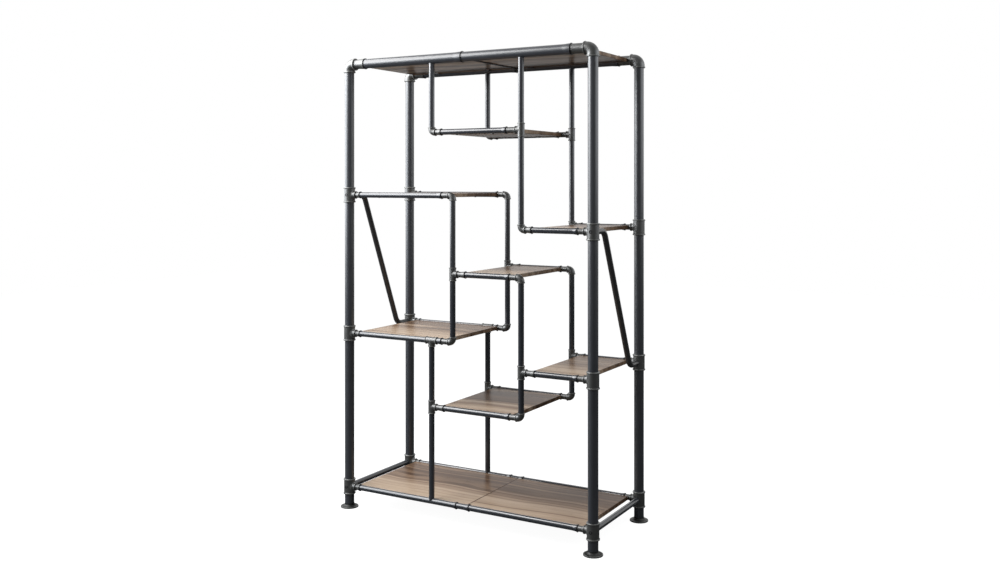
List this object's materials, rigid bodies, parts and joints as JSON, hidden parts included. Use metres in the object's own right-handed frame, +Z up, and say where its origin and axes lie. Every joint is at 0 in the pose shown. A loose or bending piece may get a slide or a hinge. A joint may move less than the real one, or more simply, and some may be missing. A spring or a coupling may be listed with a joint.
{
  "type": "pipe shelving unit",
  "caption": "Free-standing shelving unit of dark metal pipe with cast tees and elbows, staggered wood shelves on thin tube frames, and bent side braces on flanged feet.",
  "frame": {"origin": "on the floor, under the middle of the unit", "axes": "+Z up, +X to the right and +Y to the back, seen from the front"},
  "size_m": [1.166, 0.4998, 1.8327],
  "materials": {
    "post_tube": "satin dark grey paint",
    "shelf_tube": "satin dark grey paint",
    "cast_fitting": "painted casting",
    "bolt_steel": "blackened steel",
    "tab_steel": "satin dark grey paint",
    "shelf_board": "satin weathered oak laminate"
  },
  "bodies": {
    "root": {"bottom_left_board": "shelf_board", "bottom_rail_couplings": "shelf_tube", "bottom_right_board": "shelf_board", "centre_board": "shelf_board", "centre_shelf_rails": "shelf_tube", "cross_bolts": "bolt_steel", "end_plugs": "bolt_steel", "foot_flanges": "cast_fitting", "foot_nipples": "post_tube", "hanging_board": "shelf_board", "hanging_shelf_rails": "shelf_tube", "inner_lower_uprights": "shelf_tube", "inner_upper_uprights": "shelf_tube", "left_bottom_post_tees": "cast_fitting", "left_bottom_rails": "shelf_tube", "left_brace": "shelf_tube", "left_hangers": "shelf_tube", "left_lower_board": "shelf_board", "left_lower_inner_rails": "shelf_tube", "left_lower_outer_rails": "shelf_tube", "left_lower_post_tees": "cast_fitting", "left_lower_posts": "post_tube", "left_lower_uprights": "shelf_tube", "left_middle_posts": "post_tube", "left_side_rail": "shelf_tube", "left_top_elbows": "cast_fitting", "left_top_rails": "post_tube", "left_upper_board": "shelf_board", "left_upper_post_tees": "cast_fitting", "left_upper_posts": "post_tube", "left_upper_shelf_rails": "shelf_tube", "left_upper_uprights": "shelf_tube", "low_centre_board": "shelf_board", "low_centre_shelf_rails": "shelf_tube", "middle_lower_uprights": "shelf_tube", "middle_upper_uprights": "shelf_tube", "right_bottom_post_tees": "cast_fitting", "right_bottom_rails": "shelf_tube", "right_brace": "shelf_tube", "right_hanger_extensions": "shelf_tube", "right_hangers": "shelf_tube", "right_lower_board": "shelf_board", "right_lower_post_tees": "cast_fitting", "right_lower_posts": "post_tube", "right_lower_shelf_rails": "shelf_tube", "right_middle_posts": "post_tube", "right_side_rail": "shelf_tube", "right_top_elbows": "cast_fitting", "right_top_rails": "post_tube", "right_upper_board": "shelf_board", "right_upper_post_tees": "cast_fitting", "right_upper_posts": "post_tube", "right_upper_shelf_rails": "shelf_tube", "shelf_elbows": "cast_fitting", "shelf_tabs": "tab_steel", "shelf_tees": "cast_fitting", "top_left_board": "shelf_board", "top_right_board": "shelf_board"}
  },
  "joints": []
}
